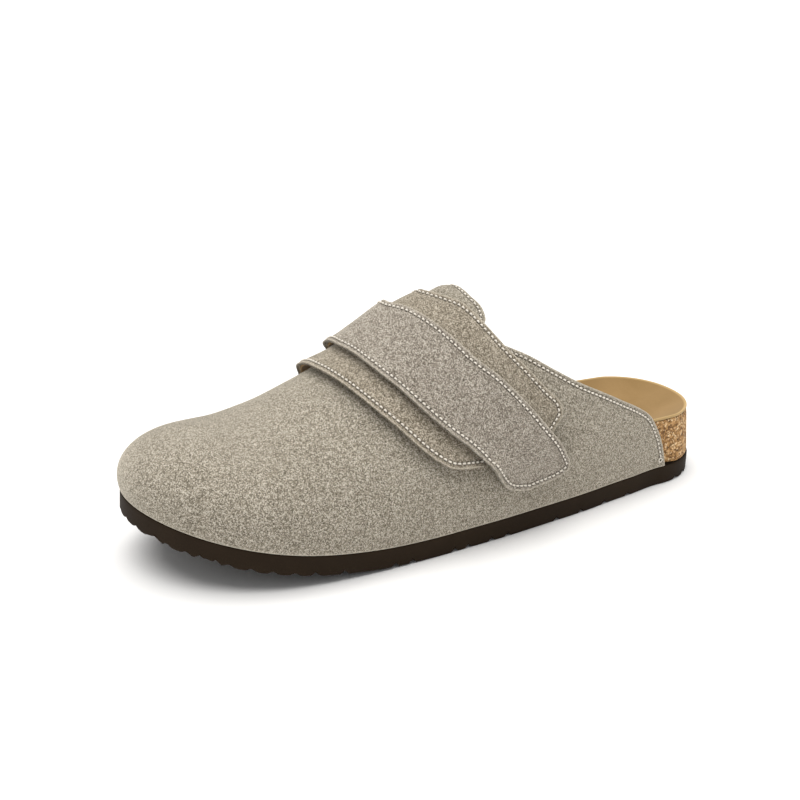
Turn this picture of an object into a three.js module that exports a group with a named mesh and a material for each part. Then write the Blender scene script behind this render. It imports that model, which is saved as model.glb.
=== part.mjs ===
// Left-foot clog slipper. All sizes are millimetres, +Z is up.
// Toe towards -Y, heel towards +Y, outer (little toe) side towards +X, treads on z = 0.
// "along" is the distance from the back of the heel towards the toe.
// "girth" runs round the upper: 0 at the outer sole line, 1 on the instep ridge, 2 at the inner sole line.
import * as THREE from 'three';

// Sole. Names that end in Start or Blend are shares of the sole length.
const soleLength = 280;
const ballWidth = 101.6;
const heelWidth = 67;
const heelArc = 33;
const toeArc = 77;
const endSquareness = 2.15;
const widthBlendStart = 0.2;
const widthBlend = 0.5;
const toeDrift = 5;
const toeDriftStart = 0.78;
const toeSpring = 21;
const springStart = 0.57;
const springPower = 2.1;
const soleThickness = 9;
const soleEdgeRound = 0.9;
const toeFlare = 0.7;
const grooveDepth = 1.8;
const grooveWidth = 3.8;

// Footbed. In front of the heel it steps in to make room for the upper.
const rimHeight = 22.5;
const footbedDraft = 0.6;
const heelTaper = 1.9;
const cupPower = 2.4;
const stepInStart = 0.07;
const stepInBlend = 0.035;
const linerThickness = 1.2;
const heelCupStart = 45;
const toePadEnd = 215;

// Upper and closure. The front edges of flap and strap lift off, from a share of their own width on.
const upperThickness = 2;
const instepHeight = 100;
const ridgeLength = 246;
const flapThickness = 2.4;
const flapLift = 1.8;
const flapLiftStart = 0.7;
const strapThickness = 2.8;
const strapLift = 0.7;
const strapLiftStart = 0.75;

// Gaps left between pieces that are glued together and between sheets that are sewn on
const clearance = 0.3;
const sheetClearance = 0.36;

// Half widths of the sole as shares of the local width, one row per section
const outlineRows = [
  { along: 0, outer: 0.5, inner: 0.5 },
  { along: 0.12, outer: 0.505, inner: 0.515 },
  { along: 0.2, outer: 0.56, inner: 0.53 },
  { along: 0.3, outer: 0.598, inner: 0.489 },
  { along: 0.42, outer: 0.57, inner: 0.406 },
  { along: 0.54, outer: 0.528, inner: 0.381 },
  { along: 0.64, outer: 0.507, inner: 0.419 },
  { along: 0.73, outer: 0.502, inner: 0.479 },
  { along: 0.8, outer: 0.5, inner: 0.499 },
  { along: 0.93, outer: 0.5, inner: 0.474 },
  { along: 1, outer: 0.492, inner: 0.455 },
];

// Tread grooves across the sole, as shares of the sole length
const grooveRows = [0.078, 0.194, 0.248, 0.302, 0.354, 0.453, 0.484, 0.527, 0.552, 0.626,
  0.655, 0.737, 0.781, 0.912, 0.93, 0.977];

// Footbed heights as shares of the rim height at the heel
const footbedRows = [
  { along: 0, outer: 1, middle: 0.66, inner: 1 },
  { along: 0.16, outer: 0.98, middle: 0.56, inner: 0.98 },
  { along: 0.36, outer: 0.88, middle: 0.68, inner: 1.08 },
  { along: 0.54, outer: 0.7, middle: 0.58, inner: 0.9 },
  { along: 0.7, outer: 0.55, middle: 0.36, inner: 0.56 },
  { along: 0.82, outer: 0.42, middle: 0.38, inner: 0.42 },
  { along: 1, outer: 0.33, middle: 0.24, inner: 0.33 },
];

// Instep ridge: height as a share of the instep height, side offset as a share of the ball width
const ridgeRows = [
  { along: 0.3, height: 0.965, side: -0.08 },
  { along: 0.42, height: 0.975, side: -0.11 },
  { along: 0.455, height: 0.987, side: -0.115 },
  { along: 0.485, height: 0.96, side: -0.12 },
  { along: 0.54, height: 0.908, side: -0.12 },
  { along: 0.6, height: 0.811, side: -0.12 },
  { along: 0.66, height: 0.713, side: -0.108 },
  { along: 0.72, height: 0.635, side: -0.089 },
  { along: 0.78, height: 0.567, side: -0.074 },
  { along: 0.84, height: 0.533, side: -0.064 },
  { along: 0.88, height: 0.548, side: -0.06 },
];

// Cross sections: how high the side wall stands, how wide the ridge is, how far the wall bulges out
const outerSectionRows = [
  { along: 0.05, wall: 0.75, crown: 0.45, bulge: 0 },
  { along: 0.2, wall: 0.75, crown: 0.42, bulge: 2 },
  { along: 0.35, wall: 0.62, crown: 0.38, bulge: 4 },
  { along: 0.5, wall: 0.5, crown: 0.36, bulge: 6.5 },
  { along: 0.65, wall: 0.5, crown: 0.42, bulge: 7.5 },
  { along: 0.78, wall: 0.58, crown: 0.55, bulge: 6.5 },
  { along: 0.9, wall: 0.62, crown: 0.65, bulge: 5.5 },
  { along: 1, wall: 0.62, crown: 0.65, bulge: 4.4 },
];
const innerSectionRows = [
  { along: 0.05, wall: 0.75, crown: 0.45, bulge: 0 },
  { along: 0.2, wall: 0.75, crown: 0.45, bulge: 2 },
  { along: 0.35, wall: 0.7, crown: 0.42, bulge: 4 },
  { along: 0.5, wall: 0.65, crown: 0.42, bulge: 5.5 },
  { along: 0.65, wall: 0.6, crown: 0.46, bulge: 5.5 },
  { along: 0.78, wall: 0.6, crown: 0.56, bulge: 5.5 },
  { along: 0.9, wall: 0.62, crown: 0.65, bulge: 5 },
  { along: 1, wall: 0.62, crown: 0.65, bulge: 4.4 },
];

// Collar and tongue edge of the upper: how far from the heel it lies on either side. Here girth
// counts from the sole line of that side up to 1 on the ridge. The inner side is cut lower.
const collarRows = [
  { girth: 0, outer: 0.109, inner: 0.109 },
  { girth: 0.04, outer: 0.115, inner: 0.118 },
  { girth: 0.08, outer: 0.123, inner: 0.13 },
  { girth: 0.12, outer: 0.135, inner: 0.15 },
  { girth: 0.155, outer: 0.149, inner: 0.18 },
  { girth: 0.19, outer: 0.176, inner: 0.21 },
  { girth: 0.23, outer: 0.214, inner: 0.245 },
  { girth: 0.28, outer: 0.253, inner: 0.287 },
  { girth: 0.34, outer: 0.293, inner: 0.322 },
  { girth: 0.43, outer: 0.341, inner: 0.355 },
  { girth: 0.52, outer: 0.384, inner: 0.388 },
  { girth: 0.57, outer: 0.412, inner: 0.412 },
  { girth: 0.62, outer: 0.441, inner: 0.441 },
  { girth: 0.67, outer: 0.437, inner: 0.437 },
  { girth: 0.71, outer: 0.4265, inner: 0.4265 },
  { girth: 0.77, outer: 0.423, inner: 0.423 },
  { girth: 0.87, outer: 0.43, inner: 0.43 },
  { girth: 1, outer: 0.434, inner: 0.434 },
];

// Rear and front edges of the wide flap round the instep
const flapRows = [
  { girth: 0.215, rear: 0.392, front: 0.5 },
  { girth: 0.222, rear: 0.38, front: 0.525 },
  { girth: 0.245, rear: 0.364, front: 0.558 },
  { girth: 0.28, rear: 0.3475, front: 0.576 },
  { girth: 0.312, rear: 0.349, front: 0.5875 },
  { girth: 0.37, rear: 0.368, front: 0.604 },
  { girth: 0.46, rear: 0.393, front: 0.623 },
  { girth: 0.56, rear: 0.419, front: 0.6415 },
  { girth: 0.66, rear: 0.439, front: 0.656 },
  { girth: 0.78, rear: 0.4575, front: 0.67 },
  { girth: 0.9, rear: 0.48, front: 0.6805 },
  { girth: 1, rear: 0.492, front: 0.686 },
  { girth: 1.2, rear: 0.491, front: 0.688 },
  { girth: 1.5, rear: 0.452, front: 0.669 },
  { girth: 1.88, rear: 0.385, front: 0.618 },
];

// Rear and front edges of the top strap
const strapRows = [
  { girth: 0.088, rear: 0.375, front: 0.425 },
  { girth: 0.094, rear: 0.358, front: 0.44 },
  { girth: 0.104, rear: 0.346, front: 0.457 },
  { girth: 0.12, rear: 0.343, front: 0.468 },
  { girth: 0.16, rear: 0.354, front: 0.484 },
  { girth: 0.26, rear: 0.388, front: 0.519 },
  { girth: 0.36, rear: 0.42, front: 0.556 },
  { girth: 0.46, rear: 0.454, front: 0.581 },
  { girth: 0.58, rear: 0.486, front: 0.602 },
  { girth: 0.7, rear: 0.509, front: 0.619 },
  { girth: 0.85, rear: 0.532, front: 0.632 },
  { girth: 1, rear: 0.549, front: 0.64 },
  { girth: 1.2, rear: 0.542, front: 0.639 },
  { girth: 1.5, rear: 0.502, front: 0.611 },
  { girth: 1.8, rear: 0.46, front: 0.57 },
];

// Girths between which the strap steps down off the end of the flap onto the upper
const stepLow = 0.11;
const stepHigh = 0.208;

// Where the facets of flap and strap lie: extra girths at the outer end, and shares of the width
const flapEndGirths = [0.215, 0.222, 0.235, 0.255];
const flapShares = [0, 0.12, 0.26, 0.4, 0.55, 0.7, 0.8, 0.9, 1];
const strapEndGirths = [0.088, 0.094, 0.104, 0.12, 0.14, 0.16, 0.18, 0.195, 0.21];
const strapShares = [0, 0.2, 0.4, 0.6, 0.75, 0.88, 1];
const girthMargin = 0.018;

const clamp01 = (value) => Math.min(1, Math.max(0, value));

function smooth(value) {
  const t = clamp01(value);
  return t * t * (3 - 2 * t);
}

// Smooth curve without overshoot through one column of a table (monotone cubic)
function curve(rows, key, column) {
  const xs = rows.map((row) => row[key]);
  const ys = rows.map((row) => row[column]);
  const last = xs.length - 1;
  const steps = xs.slice(1).map((x, i) => x - xs[i]);
  const slopes = steps.map((step, i) => (ys[i + 1] - ys[i]) / step);
  const tangents = ys.map((y, i) => {
    if (i === 0) return slopes[0];
    if (i === last) return slopes[last - 1];
    const before = slopes[i - 1];
    const after = slopes[i];
    if (before * after <= 0) return 0;
    const weightBefore = 2 * steps[i] + steps[i - 1];
    const weightAfter = steps[i] + 2 * steps[i - 1];
    return (weightBefore + weightAfter) / (weightBefore / before + weightAfter / after);
  });
  return (value) => {
    const x = Math.min(xs[last], Math.max(xs[0], value));
    let i = 0;
    while (i < last - 1 && x > xs[i + 1]) i += 1;
    const t = (x - xs[i]) / steps[i];
    return (1 + 2 * t) * (1 - t) ** 2 * ys[i] + t * (1 - t) ** 2 * steps[i] * tangents[i]
      + t * t * (3 - 2 * t) * ys[i + 1] + t * t * (t - 1) * steps[i] * tangents[i + 1];
  };
}

// One smooth curve for every column of a table except its key
function curves(rows, key) {
  const names = Object.keys(rows[0]).filter((name) => name !== key);
  return Object.fromEntries(names.map((name) => [name, curve(rows, key, name)]));
}

const outlineShare = curves(outlineRows, 'along');
const footbedShare = curves(footbedRows, 'along');
const ridgeShare = curves(ridgeRows, 'along');
const section = { outer: curves(outerSectionRows, 'along'), inner: curves(innerSectionRows, 'along') };
const collarShare = curves(collarRows, 'girth');
const flapEdge = curves(flapRows, 'girth');
const strapEdge = curves(strapRows, 'girth');
const toeStart = soleLength - toeArc;

// Outline of the sole: table of half widths, closed by a rounded heel and toe
function middleLine(along) {
  return -toeDrift * clamp01((along / soleLength - toeDriftStart) / (1 - toeDriftStart)) ** 2;
}

function endRounding(along) {
  const heel = clamp01((heelArc - along) / heelArc);
  const toe = clamp01((along - toeStart) / toeArc);
  return ((1 - heel ** endSquareness) * (1 - toe ** endSquareness)) ** (1 / endSquareness);
}

function outlineX(along, side) {
  const share = along / soleLength;
  const width = heelWidth + (ballWidth - heelWidth) * smooth((share - widthBlendStart) / widthBlend);
  const half = width * outlineShare[side](share) * endRounding(along);
  return middleLine(along) + (side === 'outer' ? half : -half);
}

// Rise of the sole under the toes
function spring(along) {
  const start = springStart * soleLength;
  return toeSpring * clamp01((along - start) / (soleLength - start)) ** springPower;
}

// Stations along the outline, close together round the heel and the toe
function stations(heelSteps, middleSteps, toeSteps) {
  const list = [];
  for (let i = 0; i <= heelSteps; i += 1) {
    list.push(heelArc * (1 - Math.cos((i / heelSteps) * Math.PI / 2) ** (2 / endSquareness)));
  }
  for (let i = 1; i <= middleSteps; i += 1) list.push(heelArc + (toeStart - heelArc) * (i / middleSteps));
  for (let i = 1; i <= toeSteps; i += 1) list.push(toeStation(i / toeSteps));
  return list;
}

function toeStation(share) {
  return toeStart + toeArc * Math.sin(share * Math.PI / 2) ** (2 / endSquareness);
}

const point = (x, along, z) => new THREE.Vector3(x, soleLength / 2 - along, z);

// Small steps for slopes and normals, and points closer than 1 / mergeScale are one point
const alongStep = 0.3;
const girthStep = 0.004;
const tiny = 1e-9;
const mergeScale = 2000;

// Where the section that starts at a place on the sole line meets the ridge. Round the toe the
// sections fan out from the front end of the ridge.
function ridgeAlong(along) {
  if (along < toeStart) return along;
  const reach = Math.max(1, ridgeLength - toeStart);
  const x = clamp01((along - toeStart) / toeArc);
  return toeStart + reach * (1 - (1 - x) ** (toeArc / reach));
}

const ridgeHeight = (along) => instepHeight * ridgeShare.height(along / soleLength);

// One point of the outer skin of the upper. A section is a cubic Bezier curve that leaves the sole
// line up the side wall and arrives level on the ridge.
function skin(along, girth) {
  const side = girth <= 1 ? 'outer' : 'inner';
  const t = Math.min(girth, 2 - girth);
  const share = along / soleLength;
  const top = ridgeAlong(along);
  const topX = ballWidth * ridgeShare.side(top / soleLength);
  const footX = outlineX(along, side);
  const footZ = spring(along) + soleThickness + clearance;
  const height = ridgeHeight(top) - footZ;
  const slope = Math.min(0, ridgeHeight(top + 0.5) - ridgeHeight(top - 0.5));
  const wall = section[side].wall(share);
  const crown = section[side].crown(share);
  const bulge = section[side].bulge(share);
  const dx = footX - topX;
  const da = along - top;
  const reach = Math.max(Math.hypot(dx, da), tiny);
  const w0 = (1 - t) ** 3;
  const w1 = 3 * (1 - t) ** 2 * t;
  const w2 = 3 * (1 - t) * t * t;
  const out = (w0 * reach + w1 * (reach + bulge) + w2 * crown * reach) / reach;
  const up = w1 * wall * height + w2 * (height + slope * crown * da) + t ** 3 * height;
  return point(topX + dx * out, top + da * out, footZ + up);
}

// Outward normal of the skin, from small steps along and round
function skinNormal(along, girth) {
  const low = Math.max(0, girth - girthStep);
  const high = Math.min(2, girth + girthStep);
  const forward = skin(along + alongStep, girth).sub(skin(along - alongStep, girth));
  const round = skin(along, high).sub(skin(along, low));
  return round.cross(forward).normalize();
}

// Body gathered from quads; points that fall together are merged, which zips the seams shut
class Body {
  constructor() {
    this.points = [];
    this.index = new Map();
    this.faces = [];
  }

  id(p) {
    const key = [p.x, p.y, p.z].map((value) => Math.round(value * mergeScale)).join(' ');
    if (!this.index.has(key)) {
      this.index.set(key, this.points.length);
      this.points.push(p.clone());
    }
    return this.index.get(key);
  }

  triangle(a, b, c) {
    const [i, j, k] = [this.id(a), this.id(b), this.id(c)];
    if (i !== j && j !== k && k !== i) this.faces.push([i, j, k]);
  }

  strip(rowA, rowB) {
    for (let i = 0; i + 1 < rowA.length; i += 1) {
      this.triangle(rowA[i], rowA[i + 1], rowB[i + 1]);
      this.triangle(rowA[i], rowB[i + 1], rowB[i]);
    }
  }

  rows(list) {
    for (let i = 0; i + 1 < list.length; i += 1) this.strip(list[i], list[i + 1]);
  }

  mesh(name, colour, roughness) {
    const [a, b, c] = [new THREE.Vector3(), new THREE.Vector3(), new THREE.Vector3()];
    let volume = 0;
    for (const [i, j, k] of this.faces) {
      a.copy(this.points[i]);
      b.copy(this.points[j]);
      c.copy(this.points[k]);
      volume += a.dot(b.cross(c));
    }
    const faces = volume > 0 ? this.faces : this.faces.map(([i, j, k]) => [i, k, j]);
    const geometry = new THREE.BufferGeometry();
    const numbers = this.points.flatMap((p) => p.toArray());
    geometry.setAttribute('position', new THREE.Float32BufferAttribute(numbers, 3));
    geometry.setIndex(faces.flat());
    geometry.computeVertexNormals();
    const material = new THREE.MeshStandardMaterial({ color: colour, roughness, metalness: 0 });
    const mesh = new THREE.Mesh(geometry, material);
    mesh.name = name;
    return mesh;
  }
}

const column = (rows, i) => rows.map((row) => row[i]);

// Outsole: ladders of quads across the top and the grooved tread, joined by the side wall. The tread
// is set in at the heel and reaches a little past the top edge at the toe.
function outsole() {
  const grooves = grooveRows.map((share) => share * soleLength);
  const cuts = grooves.flatMap((at) => [at - grooveWidth / 2, at, at + grooveWidth / 2]);
  const free = stations(9, 16, 14).filter((at) => cuts.every((cut) => Math.abs(cut - at) > 1));
  const list = [...free, ...cuts].sort((a, b) => a - b);
  const groove = (at) => {
    const nearest = Math.min(...grooves.map((g) => Math.abs(g - at)));
    return grooveDepth * clamp01(1 - nearest / (grooveWidth / 2));
  };
  const pull = 1 - soleEdgeRound / (heelWidth / 2);
  const edges = { outer: [], inner: [] };
  for (const side of ['outer', 'inner']) {
    for (const at of list) {
      const under = soleEdgeRound + at * (1 - (soleEdgeRound - toeFlare) / soleLength);
      const low = spring(under) + groove(at);
      const x = outlineX(at, side);
      const middle = middleLine(at);
      edges[side].push([
        point(middle + (x - middle) * pull, under, low),
        point(x, 0.5 * (at + under), low + soleEdgeRound),
        point(x, at, spring(at) + soleThickness),
      ]);
    }
  }
  const body = new Body();
  body.strip(column(edges.inner, 0), column(edges.outer, 0));
  body.rows([0, 1, 2].map((i) => column(edges.outer, i)));
  body.strip(column(edges.outer, 2), column(edges.inner, 2));
  body.rows([2, 1, 0].map((i) => column(edges.inner, i)));
  return body.mesh('outsole', '#332b24', 0.75);
}

// Footbed outline at a height from 0 at its underside to 1 at its rim, as side offset, along and the
// station that it came from. It is set in from the sole so that the upper fits round it.
const footbedStations = stations(9, 17, 14);

function footbedLoop(height) {
  const outer = footbedStations.map((at) => [outlineX(at, 'outer'), at]);
  const inner = footbedStations.map((at) => [outlineX(at, 'inner'), at]).reverse().slice(1, -1);
  const loop = [...outer, ...inner];
  return loop.map(([x, at], i) => {
    const before = loop[(i + loop.length - 1) % loop.length];
    const after = loop[(i + 1) % loop.length];
    const dx = after[0] - before[0];
    const da = after[1] - before[1];
    const length = Math.hypot(dx, da);
    const open = smooth((at / soleLength - stepInStart) / stepInBlend);
    const draft = footbedDraft * open + heelTaper * (1 - open);
    const inset = clearance + open * (upperThickness + clearance) + draft * height;
    return [x - (da / length) * inset, at + (dx / length) * inset, at];
  });
}

// Top of the cork above the sole: high rim, heel cup, arch on the inner side, low under the ball
function corkTop(along, side, inward) {
  const share = along / soleLength;
  const rim = footbedShare[side](share);
  const middle = footbedShare.middle(share);
  const dip = 1 - (1 - inward) ** cupPower;
  return rimHeight * (rim + (middle - rim) * dip);
}

// Rings from the rim (0) to the middle line (1), on the hollowed top and on the plain underside
const topSteps = [0, 0.1, 0.28, 0.52, 0.8, 1];
const undersideSteps = [0, 0.28, 0.64, 1];

function footbedRings(height, inwardList, lift) {
  return inwardList.map((inward) => footbedLoop(height).map(([x, at, station], i) => {
    const side = i < footbedStations.length ? 'outer' : 'inner';
    const anchor = Math.min(toePadEnd, Math.max(heelCupStart, station));
    const anchorX = 0.5 * (outlineX(anchor, 'outer') + outlineX(anchor, 'inner'));
    const along = at + (anchor - at) * inward;
    return point(x + (anchorX - x) * inward, along, lift(along, side, inward));
  }));
}

const closed = (ring) => [...ring, ring[0]];

function footbedBody(low, high) {
  const body = new Body();
  body.rows([...low].reverse().concat(high).map(closed));
  return body;
}

const soleTop = (along) => spring(along) + soleThickness;

function footbedCork() {
  const under = (along) => soleTop(along) + clearance;
  const low = footbedRings(0, undersideSteps, under);
  const high = footbedRings(1, topSteps, (...place) => under(place[0]) + corkTop(...place));
  return footbedBody(low, high).mesh('footbed_cork', '#a27e57', 0.9);
}

function footbedLiner() {
  const under = (along, side, inward) => soleTop(along) + 2 * clearance + corkTop(along, side, inward);
  const low = footbedRings(1, topSteps, under);
  const high = footbedRings(1, topSteps, (...place) => under(...place) + linerThickness);
  return footbedBody(low, high).mesh('footbed_liner', '#ad8e60', 0.95);
}

// Girths shared by the upper, the flap and the strap, so that their facets lie parallel
const outerGirths = [0, 0.035, 0.07, 0.105, 0.14, 0.18, 0.23, 0.285, 0.34, 0.4, 0.46, 0.51,
  0.56, 0.59, 0.62, 0.66, 0.69, 0.72, 0.77, 0.83, 0.89, 0.945, 1];
const innerGirths = outerGirths.map((girth) => 2 - girth).reverse().slice(1);
const sharedGirths = [...outerGirths, ...innerGirths];

// Upper: one hollow skin from the collar round the toe, open underneath and at the heel
function upper() {
  const straight = 13;
  const curved = 13;
  const outside = sharedGirths.map((girth) => {
    const start = soleLength * (girth <= 1 ? collarShare.outer(girth) : collarShare.inner(2 - girth));
    const row = [];
    for (let i = 0; i < straight; i += 1) {
      row.push(skin(start + (toeStart - start) * (i / straight), girth));
    }
    for (let i = 0; i <= curved; i += 1) row.push(skin(toeStation(i / curved), girth));
    return row;
  });
  const inside = offsetRows(outside, upperThickness);
  const body = new Body();
  body.rows(outside);
  body.rows([...inside].reverse());
  body.strip(inside[0], outside[0]);
  body.strip(outside[outside.length - 1], inside[inside.length - 1]);
  body.strip(column(outside, 0), column(inside, 0));
  return body.mesh('upper', '#a79f91', 0.95);
}

// The same rows moved inwards along the averaged face normals; the sole line stays level
function offsetRows(rows, distance) {
  const body = new Body();
  body.rows(rows);
  const normals = body.points.map(() => new THREE.Vector3());
  for (const [i, j, k] of body.faces) {
    const a = body.points[j].clone().sub(body.points[i]);
    const normal = a.cross(body.points[k].clone().sub(body.points[i]));
    for (const corner of [i, j, k]) normals[corner].add(normal);
  }
  const middleRow = rows[Math.floor(rows.length / 2)];
  const crown = middleRow[Math.floor(middleRow.length / 2)];
  const outward = Math.sign(normals[body.id(crown)].z);
  return rows.map((row, r) => row.map((p) => {
    const normal = normals[body.id(p)].clone().normalize();
    const moved = p.clone().addScaledVector(normal, -distance * outward);
    if (r === 0 || r === rows.length - 1) moved.z = p.z;
    return moved;
  }));
}

// Flap and strap: sheets laid over the upper between a rear and a front edge
function frontLift(edge, along, girth, liftStart) {
  const rear = soleLength * edge.rear(girth);
  const share = (along - rear) / (soleLength * edge.front(girth) - rear);
  return smooth((share - liftStart) / (1 - liftStart));
}

function flapOffset(along, girth) {
  return sheetClearance + flapLift * frontLift(flapEdge, along, girth, flapLiftStart);
}

function strapOffset(along, girth) {
  const onFlap = smooth((girth - stepLow) / (stepHigh - stepLow));
  const lift = strapLift * frontLift(strapEdge, along, girth, strapLiftStart);
  return sheetClearance + lift + onFlap * (flapOffset(along, girth) + flapThickness);
}

// Rows of a sheet: extra ones at its rounded outer end, then those that it shares with the upper
function sheetGirths(endGirths, last) {
  const from = endGirths[endGirths.length - 1] + girthMargin;
  const shared = sharedGirths.filter((girth) => girth > from && girth < last - girthMargin);
  return [...endGirths, ...shared, last];
}

function sheet(edge, girths, shares, offset, thickness) {
  const lay = (extra) => girths.map((girth) => shares.map((share) => {
    const rear = soleLength * edge.rear(girth);
    const along = rear + (soleLength * edge.front(girth) - rear) * share;
    return skin(along, girth).addScaledVector(skinNormal(along, girth), offset(along, girth) + extra);
  }));
  const under = lay(0);
  const over = lay(thickness);
  const body = new Body();
  const last = girths.length - 1;
  body.rows(over);
  body.rows([...under].reverse());
  body.strip(under[0], over[0]);
  body.strip(over[last], under[last]);
  body.strip(column(over, 0), column(under, 0));
  body.strip(column(under, shares.length - 1), column(over, shares.length - 1));
  return body;
}

const lastGirth = (rows) => rows[rows.length - 1].girth;

function saddleFlap() {
  const girths = sheetGirths(flapEndGirths, lastGirth(flapRows));
  const body = sheet(flapEdge, girths, flapShares, flapOffset, flapThickness);
  return body.mesh('saddle_flap', '#9c9385', 0.95);
}

function topStrap() {
  const girths = sheetGirths(strapEndGirths, lastGirth(strapRows));
  const body = sheet(strapEdge, girths, strapShares, strapOffset, strapThickness);
  return body.mesh('top_strap', '#9d9588', 0.95);
}

const slipper = new THREE.Group();
slipper.name = 'clog_slipper_left';
slipper.add(outsole(), footbedCork(), footbedLiner(), upper(), saddleFlap(), topStrap());

// Stand the slipper on z = 0 with its box centred on the origin
const box = new THREE.Box3().setFromObject(slipper, true);
const middle = box.getCenter(new THREE.Vector3());
for (const mesh of slipper.children) mesh.geometry.translate(-middle.x, -middle.y, -box.min.z);

export default slipper;
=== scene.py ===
import math
import bpy
import numpy as np
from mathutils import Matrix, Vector


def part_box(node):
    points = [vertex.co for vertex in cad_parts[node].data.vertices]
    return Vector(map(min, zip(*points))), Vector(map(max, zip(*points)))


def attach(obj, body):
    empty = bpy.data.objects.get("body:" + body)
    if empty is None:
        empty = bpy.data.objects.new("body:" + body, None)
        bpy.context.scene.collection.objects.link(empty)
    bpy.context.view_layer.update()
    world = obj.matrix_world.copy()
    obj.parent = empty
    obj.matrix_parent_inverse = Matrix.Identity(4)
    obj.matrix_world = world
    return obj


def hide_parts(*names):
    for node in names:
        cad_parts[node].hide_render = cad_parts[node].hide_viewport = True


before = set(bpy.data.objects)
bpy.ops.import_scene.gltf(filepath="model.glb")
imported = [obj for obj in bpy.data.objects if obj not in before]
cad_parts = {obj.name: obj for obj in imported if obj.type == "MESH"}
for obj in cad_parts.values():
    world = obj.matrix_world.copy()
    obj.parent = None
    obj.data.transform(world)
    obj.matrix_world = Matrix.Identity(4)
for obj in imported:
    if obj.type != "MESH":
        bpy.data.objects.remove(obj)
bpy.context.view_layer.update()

# Camera and studio: a long lens a little above a table top, a white sweep and wide soft light, as
# catalogue photographs of one shoe are made. Lengths are metres, angles are given in degrees.
AIM = Vector((-0.07867, 0.02396, 0.020))
CAMERA_AZIMUTH = math.radians(62.8)
CAMERA_ELEVATION = math.radians(20.6)
CAMERA_ROLL = math.radians(0.3)
CAMERA_DISTANCE = 0.600
LENS_MM = 51.62

backward = Vector((
    math.sin(CAMERA_AZIMUTH) * math.cos(CAMERA_ELEVATION),
    -math.cos(CAMERA_AZIMUTH) * math.cos(CAMERA_ELEVATION),
    math.sin(CAMERA_ELEVATION),
))
camera = bpy.data.objects.new("camera", bpy.data.cameras.new("camera"))
bpy.context.scene.collection.objects.link(camera)
camera.data.sensor_width = 36
camera.data.lens = LENS_MM
camera.location = AIM + backward * CAMERA_DISTANCE
camera.rotation_euler = (-backward).to_track_quat("-Z", "Y").to_euler()
camera.rotation_euler.rotate_axis("Z", CAMERA_ROLL)
bpy.context.scene.camera = camera
bpy.context.scene.view_settings.view_transform = "Standard"


def linear(code):
    """sRGB hex colour as the linear colour that a shader takes."""
    parts = [int(code[i:i + 2], 16) / 255 for i in (1, 3, 5)]
    return [c / 12.92 if c <= 0.04045 else ((c + 0.055) / 1.055) ** 2.4 for c in parts] + [1.0]


def material(name):
    """A new material and the parts every one needs: its node tree and its surface shader."""
    made = bpy.data.materials.new(name)
    made.use_nodes = True
    return made, made.node_tree, made.node_tree.nodes["Principled BSDF"]


def add(tree, kind, settings=None, **inputs):
    """One node with its settings and input values; a value that is a socket becomes a link. Inputs
    are named as in the node, with _ for a space, or i0, i1 and so on by their number."""
    node = tree.nodes.new("ShaderNode" + kind)
    for key, value in (settings or {}).items():
        setattr(node, key, value)
    for key, value in inputs.items():
        numbered = key[0] == "i" and key[1:].isdigit()
        socket = node.inputs[int(key[1:]) if numbered else key.replace("_", " ")]
        if isinstance(value, bpy.types.NodeSocket):
            tree.links.new(value, socket)
        else:
            socket.default_value = value
    return node


# A wide overhead light, as soft as an overcast sky, that comes from a little behind the slipper and
# to the camera's left, and a white room that fills the shadows
KEY_DIRECTION = Vector((-0.16, -0.04, 1.0))
KEY_WIDTH = math.radians(70)
key_lamp = bpy.data.lights.new("overhead_key", "SUN")
key_lamp.angle = KEY_WIDTH
key_lamp.energy = 3.45
key_lamp.color = linear("#fffdfa")[:3]
key_light = bpy.data.objects.new("overhead_key", key_lamp)
key_light.rotation_euler = KEY_DIRECTION.to_track_quat("Z", "Y").to_euler()
bpy.context.scene.collection.objects.link(key_light)
world = bpy.data.worlds.new("white_room")
world.use_nodes = True
world.node_tree.nodes["Background"].inputs["Color"].default_value = linear("#fdfdfd")
world.node_tree.nodes["Background"].inputs["Strength"].default_value = 0.49
bpy.context.scene.world = world

FLOOR_REACH = 60
floor_mesh = bpy.data.meshes.new("floor")
corners = [(x * FLOOR_REACH, y * FLOOR_REACH, 0) for x, y in ((-1, -1), (1, -1), (1, 1), (-1, 1))]
floor_mesh.from_pydata(corners, [], [(0, 1, 2, 3)])
floor = bpy.data.objects.new("floor", floor_mesh)
bpy.context.scene.collection.objects.link(floor)
paper, tree, shader = material("white_paper_sweep")
shader.inputs["Base Color"].default_value = linear("#f4f4f4")
shader.inputs["Roughness"].default_value = 1.0
shader.inputs["Specular IOR Level"].default_value = 0.0
floor_mesh.materials.append(paper)


# Outsole: one slab of dark brown foam rubber, cut to the shape of the last, with V grooves moulded
# across the tread. Flat from heel to ball, it rises under the toes. Lengths from here on are
# millimetres: along is counted from the back of the heel, and girth runs round the upper, 0 at the
# outer sole line, 1 on the ridge of the instep and 2 at the inner sole line.
SOLE_LENGTH = 280
BALL_WIDTH = 101.6
HEEL_WIDTH = 67
HEEL_ARC = 33
TOE_ARC = 77
SQUARENESS = 2.15
WIDTH_BLEND_START = 0.2
WIDTH_BLEND = 0.5
TOE_DRIFT = 5
TOE_DRIFT_START = 0.78
TOE_SPRING = 21
SPRING_START = 0.57
SPRING_POWER = 2.1
SOLE_THICKNESS = 9
GROOVE_DEPTH = 1.8
GROOVE_WIDTH = 3.8
GROOVE_CUTS = np.array([-GROOVE_WIDTH / 2, -1.0, 0, 1.0, GROOVE_WIDTH / 2])
GROOVE_CLOSING = 0.6
STATION_GAP = 0.5
TOE_FLARE = 0.7
TOE_FLARE_START = 0.72
NOTCH_PITCH = 8.6
NOTCH_DEPTH = 1.2
NOTCH_SHARPNESS = 5
NOTCH_TOE_START = 0.74
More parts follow.
